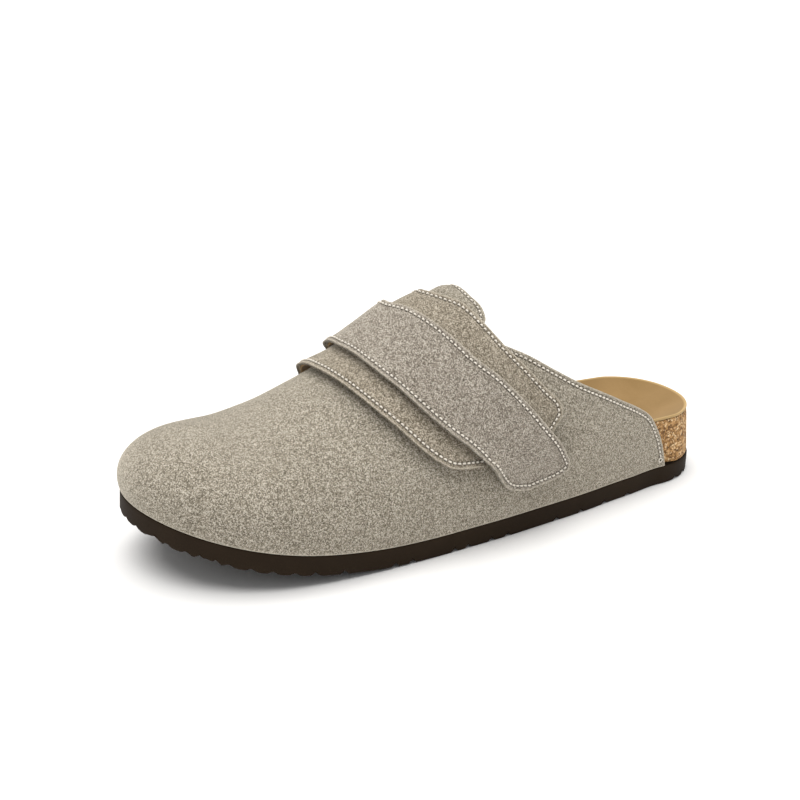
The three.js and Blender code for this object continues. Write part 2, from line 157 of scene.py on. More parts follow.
NOTCH_TOE_BLEND = 0.06
NOTCH_HEEL_END = 0.1
NOTCH_HEEL_BLEND = 0.03
NOTCH_HEEL_GAIN = 1.5
GROOVES = np.array([0.078, 0.194, 0.248, 0.302, 0.354, 0.453, 0.484, 0.527, 0.552, 0.626,
                    0.655, 0.737, 0.781, 0.912, 0.93, 0.977]) * SOLE_LENGTH


def table(names, *rows):
    """Columns by name from rows of numbers."""
    return dict(zip(names.split(), np.array(rows, float).T))


def curve(columns, key, name):
    """Smooth curve without overshoot through one column: cubic pieces whose slopes are weighted
    harmonic means of the slopes on both sides, and zero at a peak."""
    xs, ys = columns[key], columns[name]
    step = np.diff(xs)
    slope = np.diff(ys) / step
    tangent = np.r_[slope[0], np.zeros(len(xs) - 2), slope[-1]]
    before, after = slope[:-1], slope[1:]
    same = before * after > 0
    wide, narrow = 2 * step[1:] + step[:-1], step[1:] + 2 * step[:-1]
    mean = (wide + narrow) / (wide / np.where(same, before, 1) + narrow / np.where(same, after, 1))
    tangent[1:-1] = np.where(same, mean, 0)

    def at(value):
        x = np.clip(value, xs[0], xs[-1])
        i = np.clip(np.searchsorted(xs, x) - 1, 0, len(xs) - 2)
        t = (x - xs[i]) / step[i]
        return ((1 + 2 * t) * (1 - t) ** 2 * ys[i] + t * (1 - t) ** 2 * step[i] * tangent[i]
                + t * t * (3 - 2 * t) * ys[i + 1] + t * t * (t - 1) * step[i] * tangent[i + 1])
    return at


def smooth(value):
    """0 to 1 with flat ends."""
    t = np.clip(value, 0, 1)
    return t * t * (3 - 2 * t)


half_widths = table(
    "along outer inner",
    (0, 0.5, 0.5), (0.12, 0.505, 0.515), (0.2, 0.56, 0.53), (0.3, 0.598, 0.489), (0.42, 0.57, 0.406),
    (0.54, 0.528, 0.381), (0.64, 0.507, 0.419), (0.73, 0.502, 0.479), (0.8, 0.5, 0.499),
    (0.93, 0.5, 0.474), (1, 0.492, 0.455))
outer_share = curve(half_widths, "along", "outer")
inner_share = curve(half_widths, "along", "inner")


def middle_line(along):
    """The outline's middle drifts to the inner side in front of the ball."""
    share = (along / SOLE_LENGTH - TOE_DRIFT_START) / (1 - TOE_DRIFT_START)
    return -TOE_DRIFT * np.clip(share, 0, 1) ** 2


def outline_x(along, outer):
    """Half width from the table, closed at both ends by a squarish quarter ellipse."""
    share = along / SOLE_LENGTH
    width = HEEL_WIDTH + (BALL_WIDTH - HEEL_WIDTH) * smooth((share - WIDTH_BLEND_START) / WIDTH_BLEND)
    heel = np.clip((HEEL_ARC - along) / HEEL_ARC, 0, 1)
    toe = np.clip((along - SOLE_LENGTH + TOE_ARC) / TOE_ARC, 0, 1)
    ends = ((1 - heel ** SQUARENESS) * (1 - toe ** SQUARENESS)) ** (1 / SQUARENESS)
    half = width * ends * np.where(outer, outer_share(share), inner_share(share))
    return middle_line(along) + np.where(outer, half, -half)


def spring(along):
    """Rise of the sole under the toes, a power curve from the ball to the toe tip."""
    start = SPRING_START * SOLE_LENGTH
    return TOE_SPRING * np.clip((along - start) / (SOLE_LENGTH - start), 0, 1) ** SPRING_POWER


def stations(heel, middle, toe):
    """Distances along the outline, closer together round the heel and the toe."""
    a = np.linspace(0, np.pi / 2, heel + 1)
    b = np.linspace(HEEL_ARC, SOLE_LENGTH - TOE_ARC, middle + 1)[1:]
    c = np.linspace(0, np.pi / 2, toe + 1)[1:]
    return np.r_[HEEL_ARC * (1 - np.cos(a) ** (2 / SQUARENESS)), b,
                 SOLE_LENGTH - TOE_ARC + TOE_ARC * np.sin(c) ** (2 / SQUARENESS)]


def outline_loop(along, inset):
    """The outline as a closed loop, outer side then inner side, moved in by inset along its own
    normal. Returns x, along and the station each point came from."""
    back = along[::-1][1:-1]
    x = np.r_[outline_x(along, True), outline_x(back, False)]
    place = np.r_[along, back]
    dx = np.roll(x, -1) - np.roll(x, 1)
    da = np.roll(place, -1) - np.roll(place, 1)
    length = np.hypot(dx, da)
    return x - da / length * inset, place + dx / length * inset, place


# The shape is moved as a whole so that it stands where the finished part stands
fine = stations(40, 60, 60)
CENTRE_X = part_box("outsole")[0][0] * 1000 - outline_x(fine, False).min()
CENTRE_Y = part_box("outsole")[1][1] * 1000 - SOLE_LENGTH / 2


def place(x, along, z):
    """Points in the row frame, in metres, from side offset, distance from the heel and height."""
    x, along, z = np.broadcast_arrays(x, along, z)
    return np.stack([x + CENTRE_X, SOLE_LENGTH / 2 - along + CENTRE_Y, z], -1) / 1000


# Points closer than 5 micrometres count as one
MERGE_STEPS_PER_MM = 200


def grid_quads(rows, columns):
    """Corner numbers of the quads of a grid, row by row."""
    number = np.arange(rows * columns).reshape(rows, columns)
    quad = np.stack([number[:-1, :-1], number[:-1, 1:], number[1:, 1:], number[1:, :-1]], -1)
    return quad.reshape(-1, 4)


def closed(rings):
    """Rings with their first point repeated at the end."""
    rings = np.array(rings)
    return np.concatenate([rings, rings[:, :1]], 1)


def piece(name, patches, finishes, node, values=None):
    """A mesh from grids of points: neighbours in a grid share a quad, points that fall together are
    merged, so seams and poles close, and quads that lose a corner become triangles."""
    points = np.concatenate([p.reshape(-1, 3) for p, _ in patches])
    quads, slots, start = [], [], 0
    for grid, finish in patches:
        rows, columns = grid.shape[:2]
        quads.append(start + grid_quads(rows, columns))
        slots.append(np.full(len(quads[-1]), finish))
        start += rows * columns
    quads, slots = np.concatenate(quads), np.concatenate(slots)
    cells = np.round(points * (1000 * MERGE_STEPS_PER_MM)).astype(np.int64)
    _, first, merged = np.unique(cells, axis=0, return_index=True, return_inverse=True)
    points, quads = points[first], merged.reshape(-1)[quads]
    doubled = quads == np.roll(quads, -1, axis=1)
    whole = ~doubled.any(1) & (quads[:, 0] != quads[:, 2]) & (quads[:, 1] != quads[:, 3])
    single = doubled.sum(1) == 1
    threes = quads[single][~doubled[single]].reshape(-1, 3)
    corners = np.r_[quads[whole].reshape(-1), threes.reshape(-1)]
    sizes = np.r_[np.full(whole.sum(), 4), np.full(len(threes), 3)]
    starts = np.r_[0, np.cumsum(sizes)[:-1]]
    centre = points.mean(0)
    fans = np.concatenate([quads[whole][:, [0, 1, 2]], quads[whole][:, [0, 2, 3]], threes])
    a, b, c = (points[fans[:, i]] - centre for i in range(3))
    if np.einsum("ij,ij->", a, np.cross(b, c)) < 0:
        corners = np.concatenate([quads[whole][:, ::-1].reshape(-1), threes[:, ::-1].reshape(-1)])
    mesh = bpy.data.meshes.new(name)
    mesh.vertices.add(len(points))
    mesh.vertices.foreach_set("co", points.reshape(-1))
    mesh.loops.add(len(corners))
    mesh.loops.foreach_set("vertex_index", corners.astype(np.int32))
    mesh.polygons.add(len(sizes))
    mesh.polygons.foreach_set("loop_start", starts.astype(np.int32))
    mesh.polygons.foreach_set("use_smooth", np.ones(len(sizes), bool))
    for finish in finishes:
        mesh.materials.append(finish)
    mesh.polygons.foreach_set("material_index", np.r_[slots[whole], slots[single]].astype(np.int32))
    for key, value in (values or {}).items():
        mesh.attributes.new(key, "FLOAT", "POINT").data.foreach_set("value", value.reshape(-1)[first])
    mesh.update(calc_edges=True)
    mesh.validate()
    made = bpy.data.objects.new(name, mesh)
    bpy.context.scene.collection.objects.link(made)
    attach(made, "root")
    if node:
        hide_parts(node)
    return made


# Moulded EVA foam skin: dark brown, dull, with a fine pebble that breaks up its reflections
foam, tree, shader = material("moulded_eva_foam")
where = add(tree, "TexCoord").outputs["Object"]
pebble = add(tree, "TexNoise", Vector=where, Scale=1400.0, Detail=3.0)
patch = add(tree, "TexNoise", Vector=where, Scale=60.0, Detail=2.0)
tint = add(tree, "Mix", {"data_type": "RGBA"}, Factor=patch.outputs["Fac"])
tint.inputs[6].default_value = linear("#21180f")
tint.inputs[7].default_value = linear("#2f2418")
tree.links.new(tint.outputs[2], shader.inputs["Base Color"])
shader.inputs["Roughness"].default_value = 0.7
shader.inputs["Specular IOR Level"].default_value = 0.1
bump = add(tree, "Bump", Height=pebble.outputs["Fac"], Strength=0.35, Distance=0.0003)
tree.links.new(bump.outputs["Normal"], shader.inputs["Normal"])


def groove(along):
    """Depth of the V groove nearest to each station."""
    gap = np.abs(along[:, None] - GROOVES).min(1)
    return GROOVE_DEPTH * np.clip(1 - gap / (GROOVE_WIDTH / 2), 0, 1)


def notches(x, along):
    """Small V notches that follow the edge round the heel and the toe, where the tread's lugs end:
    narrow peaks of a raised cosine of the distance round the outline."""
    run = np.cumsum(np.hypot(x - np.roll(x, 1), along - np.roll(along, 1)))
    share = along / SOLE_LENGTH
    toe = smooth((share - NOTCH_TOE_START) / NOTCH_TOE_BLEND)
    heel = smooth((NOTCH_HEEL_END - share) / NOTCH_HEEL_BLEND)
    wave = np.abs(np.cos(np.pi * run / NOTCH_PITCH)) ** NOTCH_SHARPNESS
    return NOTCH_DEPTH * (toe + NOTCH_HEEL_GAIN * heel) * wave


# The edge of the slab from the tread up: inset, height above the tread, and the share of a groove
# that still shows at this height
EDGE_PROFILE = (
    (0.8, 0, 1), (0.35, 0.12, 1), (0.1, 0.4, 1), (0, 0.8, 1), (0, 1.6, 0.9), (0, 2.4, 0.4),
    (0, 3.2, 0), (0, 5, 0), (0, 7, 0), (0, 8.4, 0), (0.12, 8.75, 0), (0.5, 9, 0))
LADDER_STEPS = 12


def outsole():
    """Rings round the outline from the tread up to the top edge, each with its own inset and height,
    closed below and above by straight ladders of quads from side to side."""
    cuts = (GROOVES[:, None] + GROOVE_CUTS).reshape(-1)
    free = stations(60, 110, 130)
    free = free[np.abs(free[:, None] - cuts).min(1) > STATION_GAP]
    cuts = cuts[(cuts > STATION_GAP) & (cuts < SOLE_LENGTH - STATION_GAP)]
    along = np.sort(np.r_[free, cuts])
    x, _, station = outline_loop(along, 0)
    cut = np.maximum(groove(station), notches(x, station))
    flare = TOE_FLARE * smooth((station / SOLE_LENGTH - TOE_FLARE_START) / (1 - TOE_FLARE_START))
    rings = []
    for inset, height, share in EDGE_PROFILE:
        x, at, _ = outline_loop(along, inset - flare * (1 - height / SOLE_THICKNESS))
        z = spring(at) + np.maximum(height, share * cut + GROOVE_CLOSING * height)
        rings.append(place(x, at, z))
    rings = closed(rings)
    n = len(along)
    side = np.linspace(0, 1, LADDER_STEPS + 1)[:, None, None]

    def ladder(ring):
        outer, inner = ring[:n], np.concatenate([ring[:1], ring[n:-1][::-1], ring[n - 1:n]])
        return outer * (1 - side) + inner * side
    return [(rings, 0), (ladder(rings[0]), 0), (ladder(rings[-1])[::-1], 0)]


piece("outsole_foam", outsole(), [foam], "outsole")


# Footbed: a block of pressed cork granules and latex, ground to the foot's shape with a heel cup and
# a raised arch. The upper wraps it in front, and round the heel its bare side shows.
RIM_HEIGHT = 22.5
FOOTBED_DRAFT = 0.6
HEEL_TAPER = 1.9
CUP_POWER = 2.4
STEP_IN_START = 0.07
STEP_IN_BLEND = 0.035
LINER_THICKNESS = 1.2
UPPER_THICKNESS = 2
CLEARANCE = 0.3
HEEL_CUP_START = 45
TOE_PAD_END = 215
CORK_EDGE = 0.4
CORK_EDGE_POWER = 12
footbed_heights = table(
    "along outer middle inner",
    (0, 1, 0.66, 1), (0.16, 0.98, 0.56, 0.98), (0.36, 0.88, 0.68, 1.08), (0.54, 0.7, 0.58, 0.9),
    (0.7, 0.55, 0.36, 0.56), (0.82, 0.42, 0.38, 0.42), (1, 0.33, 0.24, 0.33))
rim_outer = curve(footbed_heights, "along", "outer")
rim_inner = curve(footbed_heights, "along", "inner")
bed_middle = curve(footbed_heights, "along", "middle")
bed_stations = stations(40, 60, 50)
BED_COUNT = len(bed_stations)


def bed_loop(height, extra=0):
    """The footbed's own outline: inside the upper in front, flush with the sole at the heel."""
    station = outline_loop(bed_stations, 0)[2]
    opened = smooth((station / SOLE_LENGTH - STEP_IN_START) / STEP_IN_BLEND)
    draft = FOOTBED_DRAFT * opened + HEEL_TAPER * (1 - opened)
    inset = CLEARANCE + opened * (UPPER_THICKNESS + CLEARANCE) + draft * height + extra
    return outline_loop(bed_stations, inset)


def bed_ring(height, inward, extra=0):
    """One ring drawn in from the outline towards the middle line by the share inward."""
    x, at, station = bed_loop(height, extra)
    anchor = np.clip(station, HEEL_CUP_START, TOE_PAD_END)
    anchor_x = 0.5 * (outline_x(anchor, True) + outline_x(anchor, False))
    return x + (anchor_x - x) * inward, at + (anchor - at) * inward


def cork_top(along, inward):
    """Height of the cork above the sole: rim at the edge, falling to the middle's height inwards."""
    share = along / SOLE_LENGTH
    outer = np.arange(len(along)) < BED_COUNT
    rim = np.where(outer, rim_outer(share), rim_inner(share))
    dip = 1 - (1 - inward) ** CUP_POWER
    return RIM_HEIGHT * (rim + (bed_middle(share) - rim) * dip)


def cork_block():
    """Underside, side wall and hollowed top as rings, the innermost zipped along the middle line."""
    base = SOLE_THICKNESS + CLEARANCE
    rings = []
    for inward in (1, 0.7, 0.35, 0.1):
        x, at = bed_ring(0, inward)
        rings.append(place(x, at, spring(at) + base))
    for share in (0, 0.02, 0.1, 0.2, 0.3, 0.4, 0.5, 0.6, 0.7, 0.8, 0.9, 0.97, 1):
        edge = CORK_EDGE * (abs(2 * share - 1) ** CORK_EDGE_POWER)
        x, at = bed_ring(share, 0, edge)
        rings.append(place(x, at, spring(at) + base + cork_top(at, 0) * share))
    for inward in (0.03, 0.08, 0.15, 0.25, 0.4, 0.6, 0.8, 1):
        x, at = bed_ring(1, inward, CORK_EDGE * (1 - inward))
        rings.append(place(x, at, spring(at) + base + cork_top(at, inward)))
    return [(closed(rings), 0)]


# Pressed cork: golden to dark brown granules of about 1 mm, with darker binder and pores between
cork, tree, shader = material("pressed_cork")
where = add(tree, "TexCoord").outputs["Object"]
warp = add(tree, "TexNoise", Vector=where, Scale=1200.0, Detail=2.0)
bent = add(tree, "VectorMath", {"operation": "MULTIPLY_ADD"},
           i0=warp.outputs["Color"], i1=(0.0009,) * 3, i2=where)
grains = add(tree, "TexVoronoi", Vector=bent.outputs[0], Scale=1150.0, Randomness=1.0)
split = add(tree, "SeparateColor", Color=grains.outputs["Color"])
coarse = add(tree, "TexNoise", Vector=where, Scale=330.0, Detail=2.0)
mixed = add(tree, "Math", {"operation": "MULTIPLY_ADD"},
            i0=coarse.outputs["Fac"], i1=0.6, i2=split.outputs[0])
level = add(tree, "MapRange", Value=mixed.outputs[0], From_Min=0.25, From_Max=1.25)
shade = add(tree, "ValToRGB", Fac=level.outputs[0])
ramp = shade.color_ramp
ramp.elements[0].color = linear("#5a3c20")
ramp.elements[-1].color = linear("#f0d2a4")
for position, code in ((0.2, "#835d35"), (0.5, "#a87d49"), (0.8, "#c89a62")):
    ramp.elements.new(position).color = linear(code)
pores = add(tree, "TexNoise", Vector=where, Scale=1300.0, Detail=3.0, Roughness=0.7)
pit = add(tree, "MapRange", Value=pores.outputs["Fac"], From_Min=0.57, From_Max=0.72)
stain = add(tree, "Mix", {"data_type": "RGBA"}, Factor=pit.outputs[0])
tree.links.new(shade.outputs[0], stain.inputs[6])
stain.inputs[7].default_value = linear("#4d331d")
tree.links.new(stain.outputs[2], shader.inputs["Base Color"])
shader.inputs["Roughness"].default_value = 0.85
crumb = add(tree, "Math", {"operation": "SUBTRACT"},
            i0=grains.outputs["Distance"], i1=pores.outputs["Fac"])
bump = add(tree, "Bump", Height=crumb.outputs[0], Strength=0.6, Distance=0.0006)
tree.links.new(bump.outputs["Normal"], shader.inputs["Normal"])
piece("cork_block", cork_block(), [cork], "footbed_cork")


# Footbed liner: thin tan suede glued over the cork and trimmed flush, so that its raw cut edge shows
# as a pale line along the rim of the heel.
LINER_LIFT = 0.1
LINER_EDGE = 0.45


def liner():
    """The cork's top surface lifted a little, with a rounded outer edge, and its own underside."""
    base = SOLE_THICKNESS + CLEARANCE + LINER_LIFT
    top = base + CLEARANCE + LINER_THICKNESS
    inwards = (1, 0.9, 0.8, 0.7, 0.6, 0.5, 0.4, 0.31, 0.23, 0.16, 0.1, 0.06, 0.03, 0.01)
    edge = ((LINER_EDGE, 0), (0.15, 0.12), (0, 0.35), (0, 0.75), (0.12, 0.92), (LINER_EDGE, 1))
    rings = []
    for inward in inwards:
        x, at = bed_ring(1, inward, LINER_EDGE)
        rings.append(place(x, at, spring(at) + base + cork_top(at, inward)))
    for extra, share in edge:
        x, at = bed_ring(1, 0, extra)
        rings.append(place(x, at, spring(at) + base + cork_top(at, 0) + share * (top - base)))
    for inward in inwards[::-1]:
        x, at = bed_ring(1, inward, LINER_EDGE)
        rings.append(place(x, at, spring(at) + top + cork_top(at, inward)))
    rim = np.zeros((len(rings), len(rings[0]) + 1))
    rim[len(inwards) - 1:len(inwards) + len(edge) + 1] = 1
    return [(closed(rings), 0)], rim


# Lining suede: tan, dead matt, faint long clouds where the nap lies differently; raw edge paler
lining, tree, shader = material("tan_lining_suede")
where = add(tree, "TexCoord").outputs["Object"]
cloud = add(tree, "TexNoise", Vector=where, Scale=45.0, Detail=3.0, Distortion=0.6)
fuzz = add(tree, "TexNoise", Vector=where, Scale=1500.0, Detail=2.0)
blend = add(tree, "Math", {"operation": "MULTIPLY_ADD"},
            i0=fuzz.outputs["Fac"], i1=0.25, i2=cloud.outputs["Fac"])
nap = add(tree, "MapRange", Value=blend.outputs[0], From_Min=0.4, From_Max=0.85)
tone = add(tree, "Mix", {"data_type": "RGBA"}, Factor=nap.outputs[0])
tone.inputs[6].default_value = linear("#8b6f45")
tone.inputs[7].default_value = linear("#987b51")
raw = add(tree, "Attribute", {"attribute_name": "rim"})
cut = add(tree, "Mix", {"data_type": "RGBA"}, Factor=raw.outputs["Fac"])
tree.links.new(tone.outputs[2], cut.inputs[6])
cut.inputs[7].default_value = linear("#b99c6c")
tree.links.new(cut.outputs[2], shader.inputs["Base Color"])
shader.inputs["Roughness"].default_value = 0.95
shader.inputs["Specular IOR Level"].default_value = 0.2
shader.inputs["Sheen Weight"].default_value = 0.15
bump = add(tree, "Bump", Height=fuzz.outputs["Fac"], Strength=0.25, Distance=0.0003)
tree.links.new(bump.outputs["Normal"], shader.inputs["Normal"])
liner_patches, rim_values = liner()
piece("liner_suede", liner_patches, [lining], "footbed_liner", {"rim": rim_values})


# Upper: one skin of taupe suede drawn over the last and glued under the footbed, with a rounded
# tongue at the top of the instep and a collar that runs down to the heel. A single row of pale
# stitches follows the collar and the tongue.
INSTEP_HEIGHT = 100
RIDGE_LENGTH = 246
STITCH_INSET = 2.1
STITCH_PITCH = 2.3
TROUGH_DEPTH = 0.32
TROUGH_WIDTH = 0.8
SEAM_END = 0.02
SEAM_SPACING = 0.5
UPPER_BULGE = 0.35
# The upper's rim strip takes some of the pale edge colour, partly the leather's rubbed edge and partly
# painted highlight
UPPER_RIM_WEAR_AND_HIGHLIGHT = 0.4
# The upper's rim strip also takes some of the dark cut-side colour, partly the leather's cut side and
# partly painted shade
UPPER_RIM_SHADE = 0.4
UPPER_ROWS = 252
BODY_COLUMNS = 44
TOE_COLUMNS = 51
EDGE_COLUMNS = np.array([0, 0.5, 1, 1.6, 2.2, 2.9, 3.6, 4.4, 5.4, 6.8])
ridge_line = table(
    "along height side",
    (0.3, 0.965, -0.08), (0.42, 0.975, -0.11), (0.455, 0.987, -0.115), (0.485, 0.96, -0.12),
    (0.54, 0.908, -0.12), (0.6, 0.811, -0.12), (0.66, 0.713, -0.108), (0.72, 0.635, -0.089),
    (0.78, 0.567, -0.074), (0.84, 0.533, -0.064), (0.88, 0.548, -0.06))
sections = table(
    "along outer_wall outer_crown outer_bulge inner_wall inner_crown inner_bulge",
    (0.05, 0.75, 0.45, 0, 0.75, 0.45, 0), (0.2, 0.75, 0.42, 2, 0.75, 0.45, 2),
    (0.35, 0.62, 0.38, 4, 0.7, 0.42, 4), (0.5, 0.5, 0.36, 6.5, 0.65, 0.42, 5.5),
    (0.65, 0.5, 0.42, 7.5, 0.6, 0.46, 5.5), (0.78, 0.58, 0.55, 6.5, 0.6, 0.56, 5.5),
    (0.9, 0.62, 0.65, 5.5, 0.62, 0.65, 5), (1, 0.62, 0.65, 4.4, 0.62, 0.65, 4.4))
collar = table(
    "girth outer inner",
    (0, 0.109, 0.109), (0.04, 0.115, 0.118), (0.08, 0.123, 0.13), (0.12, 0.135, 0.15),
    (0.155, 0.149, 0.18), (0.19, 0.176, 0.21), (0.23, 0.214, 0.245), (0.28, 0.253, 0.287),
    (0.34, 0.293, 0.322), (0.43, 0.341, 0.355), (0.52, 0.384, 0.388), (0.57, 0.412, 0.412),
    (0.62, 0.441, 0.441), (0.67, 0.437, 0.437), (0.71, 0.4265, 0.4265), (0.77, 0.423, 0.423),
    (0.87, 0.43, 0.43), (1, 0.434, 0.434))
ridge_height = curve(ridge_line, "along", "height")
ridge_side = curve(ridge_line, "along", "side")
section_curves = {name: curve(sections, "along", name) for name in sections if name != "along"}
collar_outer = curve(collar, "girth", "outer")
collar_inner = curve(collar, "girth", "inner")


def ridge_along(along):
    """Round the toe, sections fan out from the front end of the ridge."""
    start = SOLE_LENGTH - TOE_ARC
    reach = RIDGE_LENGTH - start
    x = np.clip((along - start) / TOE_ARC, 0, 1)
    return np.where(along < start, along, start + reach * (1 - (1 - x) ** (TOE_ARC / reach)))


def skin(along, girth):
    """Outer skin of the upper in millimetres: each section is a cubic curve from the sole line,
    first up the wall and then onto the ridge, where it falls forward as the ridge does."""
    along, girth = np.broadcast_arrays(np.asarray(along, float), np.asarray(girth, float))
    outer = girth <= 1
    t = np.minimum(girth, 2 - girth)
    share = along / SOLE_LENGTH
    top = ridge_along(along)
    top_x = BALL_WIDTH * ridge_side(top / SOLE_LENGTH)
    foot_x = outline_x(along, outer)
    foot_z = spring(along) + SOLE_THICKNESS + CLEARANCE
    height = INSTEP_HEIGHT * ridge_height(top / SOLE_LENGTH) - foot_z
    rise_per_mm = ridge_height((top + 0.5) / SOLE_LENGTH) - ridge_height((top - 0.5) / SOLE_LENGTH)
    slope = np.minimum(0, INSTEP_HEIGHT * rise_per_mm)
    wall, crown, bulge = (np.where(outer, section_curves["outer_" + name](share),
                                   section_curves["inner_" + name](share))
                          for name in ("wall", "crown", "bulge"))
    dx, da = foot_x - top_x, along - top
    reach = np.hypot(dx, da) + 1e-9
    w0, w1, w2 = (1 - t) ** 3, 3 * (1 - t) ** 2 * t, 3 * (1 - t) * t * t
    out = (w0 * reach + w1 * (reach + bulge) + w2 * crown * reach) / reach
    up = w1 * wall * height + w2 * (height + slope * crown * da) + t ** 3 * height
    return np.stack([top_x + dx * out, top + da * out, foot_z + up], -1)


def unit(vectors):
    """Vectors scaled to length one."""
    return vectors / (np.linalg.norm(vectors, axis=-1, keepdims=True) + 1e-12)


# Steps on the skin, in millimetres along it and as a share of the girth, for slopes and normals
NORMAL_STEP = 0.3
NORMAL_TURN = 0.004
SLOPE_STEP = 0.2
SLOPE_TURN = 0.002


def skin_normal(along, girth):
    """Outward normal of the skin from small steps both ways. Side, along and up are a left-handed
    set, so the cross product is taken forward by round."""
    along, girth = np.broadcast_arrays(np.asarray(along, float), np.asarray(girth, float))
    forward = skin(along + NORMAL_STEP, girth) - skin(along - NORMAL_STEP, girth)
    low, high = np.maximum(0, girth - NORMAL_TURN), np.minimum(2, girth + NORMAL_TURN)
    return unit(np.cross(forward, skin(along, high) - skin(along, low)))


def metres(points):
    """Side, along and up in millimetres as points in the row frame."""
    return place(points[..., 0], points[..., 1], points[..., 2])


def run_along(points):
    """Length of a path up to each of its points."""
    return np.r_[0, np.cumsum(np.linalg.norm(np.diff(points, axis=0), axis=1))]


def nearest(points, path):
    """For each point: signed distance from a path, positive on its left seen from outside, and how
    far along the path the nearest spot lies. Both in millimetres."""
    run = run_along(path[0])
    flat = points.reshape(-1, 3)
    side = unit(np.cross(path[1], np.gradient(path[0], axis=0)))
    tangent = unit(np.gradient(path[0], axis=0))
    found = np.concatenate([
        np.argmin(((chunk[:, None] - path[0][None]) ** 2).sum(-1), axis=1)
        for chunk in np.array_split(flat, max(1, len(flat) // 2000))])
    gap = flat - path[0][found]
    shift = (gap * tangent[found]).sum(-1)
    sign = np.where((gap * side[found]).sum(-1) > 0, 1, -1)
    distance = np.sqrt(np.maximum((gap ** 2).sum(-1) - shift ** 2 * (np.abs(shift) < 1), 0))
    return (sign * distance).reshape(points.shape[:-1]), (run[found] + shift).reshape(points.shape[:-1])


def on_skin(along, girth, lift):
    """Point and normal on a surface that floats lift above the skin."""
    normal = skin_normal(along, girth)
    height = lift(along, girth)
    return skin(along, girth) + normal * height[..., None], normal


def seam(along, girth, lift, inset, smooth_by):
    """A path at a fixed inset from an edge: each edge point steps inwards on the surface, square to
    the edge, and the new path is spaced evenly. Returns its points and normals."""
    at, normal = on_skin(along, girth, lift)
    tangent = unit(np.gradient(at, axis=0))
    inwards = unit(np.cross(tangent, normal)) * inset
    back, front = along - SLOPE_STEP, along + SLOPE_STEP
    by_along = (on_skin(front, girth, lift)[0] - on_skin(back, girth, lift)[0]) / (2 * SLOPE_STEP)
    low, high = np.maximum(girth - SLOPE_TURN, 0), np.minimum(girth + SLOPE_TURN, 2)
    by_girth = (on_skin(along, high, lift)[0] - on_skin(along, low, lift)[0]) / (high - low)[..., None]
    aa, gg, ag = (by_along ** 2).sum(-1), (by_girth ** 2).sum(-1), (by_along * by_girth).sum(-1)
    ai, gi = (by_along * inwards).sum(-1), (by_girth * inwards).sum(-1)
    det = aa * gg - ag * ag
    new_along = along + (gg * ai - ag * gi) / det
    new_girth = girth + (aa * gi - ag * ai) / det
    for _ in range(smooth_by):
        for values in (new_along, new_girth):
            values[1:-1] = 0.25 * values[:-2] + 0.5 * values[1:-1] + 0.25 * values[2:]
    points = on_skin(new_along, new_girth, lift)[0]
    run = run_along(points)
    even = np.arange(0, run[-1], SEAM_SPACING)
    new_along, new_girth = np.interp(even, run, new_along), np.interp(even, run, new_girth)
    return on_skin(new_along, new_girth, lift)


def rounded_rim(outer, inner, bulge, steps=6):
    """Strip between two closed loops with the same points: half an ellipse that swells outwards."""
    middle, half = 0.5 * (outer + inner), 0.5 * (outer - inner)
    tangent = unit(np.roll(outer, -1, axis=0) - np.roll(outer, 1, axis=0))
    away = unit(np.cross(tangent, unit(half)))
    angle = np.linspace(0, np.pi, steps + 1)[:, None, None]
    return middle + half * np.cos(angle) + away * bulge * np.sin(angle)


def mesh_normals(grid):
    """Averaged facet normals at the points of a grid whose coinciding points share one normal."""
    points = grid.reshape(-1, 3)
    quad = grid_quads(*grid.shape[:2])
    cells = np.round(points * MERGE_STEPS_PER_MM).astype(np.int64)
    _, merged = np.unique(cells, axis=0, return_inverse=True)
    merged = merged.reshape(-1)
    facet = np.cross(points[quad[:, 2]] - points[quad[:, 0]], points[quad[:, 3]] - points[quad[:, 1]])
    total = np.zeros((merged.max() + 1, 3))
    for corner in range(4):
        np.add.at(total, merged[quad[:, corner]], facet)
    return unit(total[merged]).reshape(grid.shape)


def collar_edge(girth):
    """Distance from the heel of the collar and tongue edge, cut lower on the inner side."""
    return SOLE_LENGTH * np.where(girth <= 1, collar_outer(girth), collar_inner(2 - girth))


# The value that stands for far from every seam and edge
FAR_AWAY = 99.0


def marks(seam_gap, seam_run, edge_gap, rim_wear_and_highlight, rim_dark):
    """The suede's attributes for an outside, the rim strip behind it and an inside, in this order."""
    # On the rim strip the edge value sets the pale edge colour, partly wear and partly painted
    # highlight, and the rim value sets the dark cut-side colour, partly the leather's cut side and
    # partly painted shade
    blank = np.zeros(len(rim_dark))
    far = np.full(seam_gap.size, FAR_AWAY)
    return {
        "seam": np.r_[seam_gap.reshape(-1), blank + FAR_AWAY, far],
        "run": np.r_[seam_run.reshape(-1), blank, far],
        "edge": np.r_[edge_gap.reshape(-1), blank + rim_wear_and_highlight, far],
        "rim": np.r_[far * 0, rim_dark, far * 0],
    }


